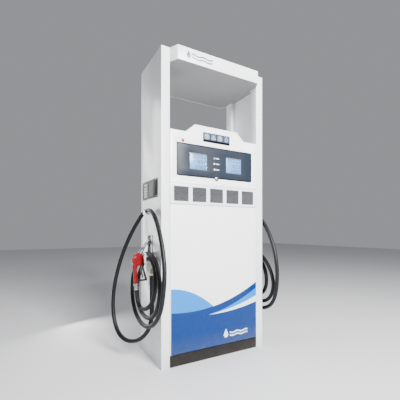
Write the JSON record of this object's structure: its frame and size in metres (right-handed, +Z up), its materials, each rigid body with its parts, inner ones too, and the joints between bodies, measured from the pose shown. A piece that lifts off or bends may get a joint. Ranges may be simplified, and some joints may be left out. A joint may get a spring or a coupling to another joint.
{
  "type": "gas pump",
  "caption": "Two-sided fuel dispenser with side columns, canopy, display head, pump compartment and a coiled hose and nozzle on each side.",
  "frame": {"origin": "middle of the footprint at floor level", "axes": "+Z up, +X along the width, front face towards -Y"},
  "size_m": [1.3456, 0.6324, 2.2],
  "materials": {
    "white_paint": "satin powder coat",
    "head_white": "satin powder coat",
    "door_white": "satin powder coat with blue wave film",
    "soffit_grey": "matt powder coat",
    "vent_grey": "satin powder coat",
    "mesh_steel": "woven mesh",
    "plinth_black": "gloss black",
    "galvanised": "zinc plated",
    "display_grey": "satin",
    "readout_blue": "backlit readout",
    "pictogram_black": "gloss",
    "lamp_red": "gloss",
    "lock_white": "satin chrome",
    "pin_steel": "ground",
    "pump_iron": "painted casting",
    "motor_blue": "gloss enamel",
    "pulley_iron": "machined",
    "belt_rubber": "matt",
    "pipe_metal": "galvanised",
    "meter_aluminium": "cast",
    "valve_black": "satin",
    "box_steel": "zinc plated",
    "keypad_black": "satin",
    "key_grey": "satin",
    "holster_steel": "brushed",
    "lever_black": "matt",
    "nozzle_red": "moulded scuff guard",
    "spout_metal": "drawn tube",
    "trigger_black": "matt",
    "swivel_metal": "turned",
    "fitting_brass": "dull",
    "hose_rubber": "matt braided cover",
    "hook_white": "satin",
    "screw_steel": "plain"
  },
  "bodies": {
    "cabinet": {"base_frame": "galvanised", "left_column": "white_paint", "right_column": "white_paint", "canopy": "white_paint", "canopy_soffit": "soffit_grey", "front_fascia": "head_white", "rear_fascia": "head_white", "head_cover": "head_white", "divider_trays": "galvanised", "vent_frames": "vent_grey", "vent_meshes": "mesh_steel", "pictogram_plates": "pictogram_black", "indicator_lamps": "lamp_red", "hinge_pins": "pin_steel", "kick_plates": "plinth_black", "display_boards": "readout_blue", "pump_unit": "pump_iron", "motor": "motor_blue", "drive_belt": "belt_rubber", "inlet_pipe": "pipe_metal", "delivery_pipes": "pipe_metal", "flow_meters": "meter_aluminium", "solenoid_valves": "valve_black", "controller_box": "box_steel", "keypad_bezels": "keypad_black", "holsters": "holster_steel", "outlet_fittings": "fitting_brass", "hose_hooks": "hook_white", "panel_screws": "screw_steel", "left_hose": "hose_rubber", "right_hose": "hose_rubber"},
    "front_display_door": {"front_display_door": "display_grey"},
    "front_lock": {"front_lock": "lock_white"},
    "front_door": {"front_door": "door_white"},
    "rear_display_door": {"rear_display_door": "display_grey"},
    "rear_lock": {"rear_lock": "lock_white"},
    "rear_door": {"rear_door": "door_white"},
    "pump_pulley": {"pump_pulley": "pulley_iron"},
    "motor_pulley": {"motor_pulley": "pulley_iron"},
    "left_key_1": {"left_key_1": "key_grey"},
    "left_key_2": {"left_key_2": "key_grey"},
    "left_key_3": {"left_key_3": "key_grey"},
    "left_key_4": {"left_key_4": "key_grey"},
    "left_key_5": {"left_key_5": "key_grey"},
    "left_nozzle": {"left_nozzle": "nozzle_red", "left_spout": "spout_metal"},
    "left_trigger": {"left_trigger": "trigger_black"},
    "left_swivel": {"left_swivel": "swivel_metal"},
    "left_boot_lever": {"left_boot_lever": "lever_black"},
    "right_key_1": {"right_key_1": "key_grey"},
    "right_key_2": {"right_key_2": "key_grey"},
    "right_key_3": {"right_key_3": "key_grey"},
    "right_key_4": {"right_key_4": "key_grey"},
    "right_key_5": {"right_key_5": "key_grey"},
    "right_nozzle": {"right_nozzle": "nozzle_red", "right_spout": "spout_metal"},
    "right_trigger": {"right_trigger": "trigger_black"},
    "right_swivel": {"right_swivel": "swivel_metal"},
    "right_boot_lever": {"right_boot_lever": "lever_black"}
  },
  "joints": [
    {"name": "front_display_hinge", "type": "hinge", "parent": "cabinet", "child": "front_display_door", "pos_m": [0, -0.2065, 1.552], "axis": [-1, 0, 0], "range_deg": [0, 80]},
    {"name": "front_lock_turn", "type": "hinge", "parent": "front_display_door", "child": "front_lock", "pos_m": [0, -0.2, 1.331], "axis": [0, 1, 0], "range_deg": [0, 90]},
    {"name": "front_door_hinge", "type": "hinge", "parent": "cabinet", "child": "front_door", "pos_m": [-0.3675, -0.2015, 0.6], "axis": [0, 0, -1], "range_deg": [0, 90]},
    {"name": "rear_display_hinge", "type": "hinge", "parent": "cabinet", "child": "rear_display_door", "pos_m": [0, 0.2065, 1.552], "axis": [1, 0, 0], "range_deg": [0, 80]},
    {"name": "rear_lock_turn", "type": "hinge", "parent": "rear_display_door", "child": "rear_lock", "pos_m": [0, 0.2, 1.331], "axis": [0, 1, 0], "range_deg": [0, 90]},
    {"name": "rear_door_hinge", "type": "hinge", "parent": "cabinet", "child": "rear_door", "pos_m": [0.3675, 0.2015, 0.6], "axis": [0, 0, -1], "range_deg": [0, 90]},
    {"name": "pump_pulley_spin", "type": "hinge", "parent": "cabinet", "child": "pump_pulley", "pos_m": [-0.15, -0.14, 0.17], "axis": [0, 1, 0], "continuous": true},
    {"name": "motor_pulley_spin", "type": "hinge", "parent": "cabinet", "child": "motor_pulley", "pos_m": [0.15, -0.14, 0.17], "axis": [0, 1, 0], "continuous": true},
    {"name": "left_key_1_press", "type": "slide", "parent": "cabinet", "child": "left_key_1", "axis": [1, 0, 0], "range_m": [0, 0.002], "stiffness_N_per_m": 400, "springref_m": -0.0015},
    {"name": "left_key_2_press", "type": "slide", "parent": "cabinet", "child": "left_key_2", "axis": [1, 0, 0], "range_m": [0, 0.002], "stiffness_N_per_m": 400, "springref_m": -0.0015},
    {"name": "left_key_3_press", "type": "slide", "parent": "cabinet", "child": "left_key_3", "axis": [1, 0, 0], "range_m": [0, 0.002], "stiffness_N_per_m": 400, "springref_m": -0.0015},
    {"name": "left_key_4_press", "type": "slide", "parent": "cabinet", "child": "left_key_4", "axis": [1, 0, 0], "range_m": [0, 0.002], "stiffness_N_per_m": 400, "springref_m": -0.0015},
    {"name": "left_key_5_press", "type": "slide", "parent": "cabinet", "child": "left_key_5", "axis": [1, 0, 0], "range_m": [0, 0.002], "stiffness_N_per_m": 400, "springref_m": -0.0015},
    {"name": "left_nozzle_slide", "type": "slide", "parent": "cabinet", "child": "left_nozzle", "axis": [-0.995, 0, 0.0995], "range_m": [0, 0.15], "deforming": ["left_hose"]},
    {"name": "left_trigger_squeeze", "type": "hinge", "parent": "left_nozzle", "child": "left_trigger", "pos_m": [-0.5165, 0.022, 0.7], "axis": [0, 1, 0], "range_deg": [0, 16], "stiffness_Nm_per_rad": 1, "springref_deg": -11.46},
    {"name": "left_swivel_turn", "type": "hinge", "parent": "left_nozzle", "child": "left_swivel", "pos_m": [-0.5455, 0.022, 0.56], "axis": [-0.083, 0, 0.9966], "continuous": true},
    {"name": "left_boot_lever_lift", "type": "hinge", "parent": "cabinet", "child": "left_boot_lever", "pos_m": [-0.4265, 0.022, 0.8], "axis": [0, -1, 0], "range_deg": [0, 20]},
    {"name": "right_key_1_press", "type": "slide", "parent": "cabinet", "child": "right_key_1", "axis": [-1, 0, 0], "range_m": [0, 0.002], "stiffness_N_per_m": 400, "springref_m": -0.0015},
    {"name": "right_key_2_press", "type": "slide", "parent": "cabinet", "child": "right_key_2", "axis": [-1, 0, 0], "range_m": [0, 0.002], "stiffness_N_per_m": 400, "springref_m": -0.0015},
    {"name": "right_key_3_press", "type": "slide", "parent": "cabinet", "child": "right_key_3", "axis": [-1, 0, 0], "range_m": [0, 0.002], "stiffness_N_per_m": 400, "springref_m": -0.0015},
    {"name": "right_key_4_press", "type": "slide", "parent": "cabinet", "child": "right_key_4", "axis": [-1, 0, 0], "range_m": [0, 0.002], "stiffness_N_per_m": 400, "springref_m": -0.0015},
    {"name": "right_key_5_press", "type": "slide", "parent": "cabinet", "child": "right_key_5", "axis": [-1, 0, 0], "range_m": [0, 0.002], "stiffness_N_per_m": 400, "springref_m": -0.0015},
    {"name": "right_nozzle_slide", "type": "slide", "parent": "cabinet", "child": "right_nozzle", "axis": [0.995, 0, 0.0995], "range_m": [0, 0.15], "deforming": ["right_hose"]},
    {"name": "right_trigger_squeeze", "type": "hinge", "parent": "right_nozzle", "child": "right_trigger", "pos_m": [0.5165, 0.022, 0.7], "axis": [0, -1, 0], "range_deg": [0, 16], "stiffness_Nm_per_rad": 1, "springref_deg": -11.46},
    {"name": "right_swivel_turn", "type": "hinge", "parent": "right_nozzle", "child": "right_swivel", "pos_m": [0.5455, 0.022, 0.56], "axis": [0.083, 0, 0.9966], "continuous": true},
    {"name": "right_boot_lever_lift", "type": "hinge", "parent": "cabinet", "child": "right_boot_lever", "pos_m": [0.4265, 0.022, 0.8], "axis": [0, 1, 0], "range_deg": [0, 20]}
  ],
  "couplings": [
    {"joint": "motor_pulley_spin", "follows": "pump_pulley_spin", "ratio": 2.1111},
    {"joint": "left_boot_lever_lift", "follows": "left_nozzle_slide", "rad_per_m": 2.3},
    {"joint": "right_boot_lever_lift", "follows": "right_nozzle_slide", "rad_per_m": 2.3}
  ]
}
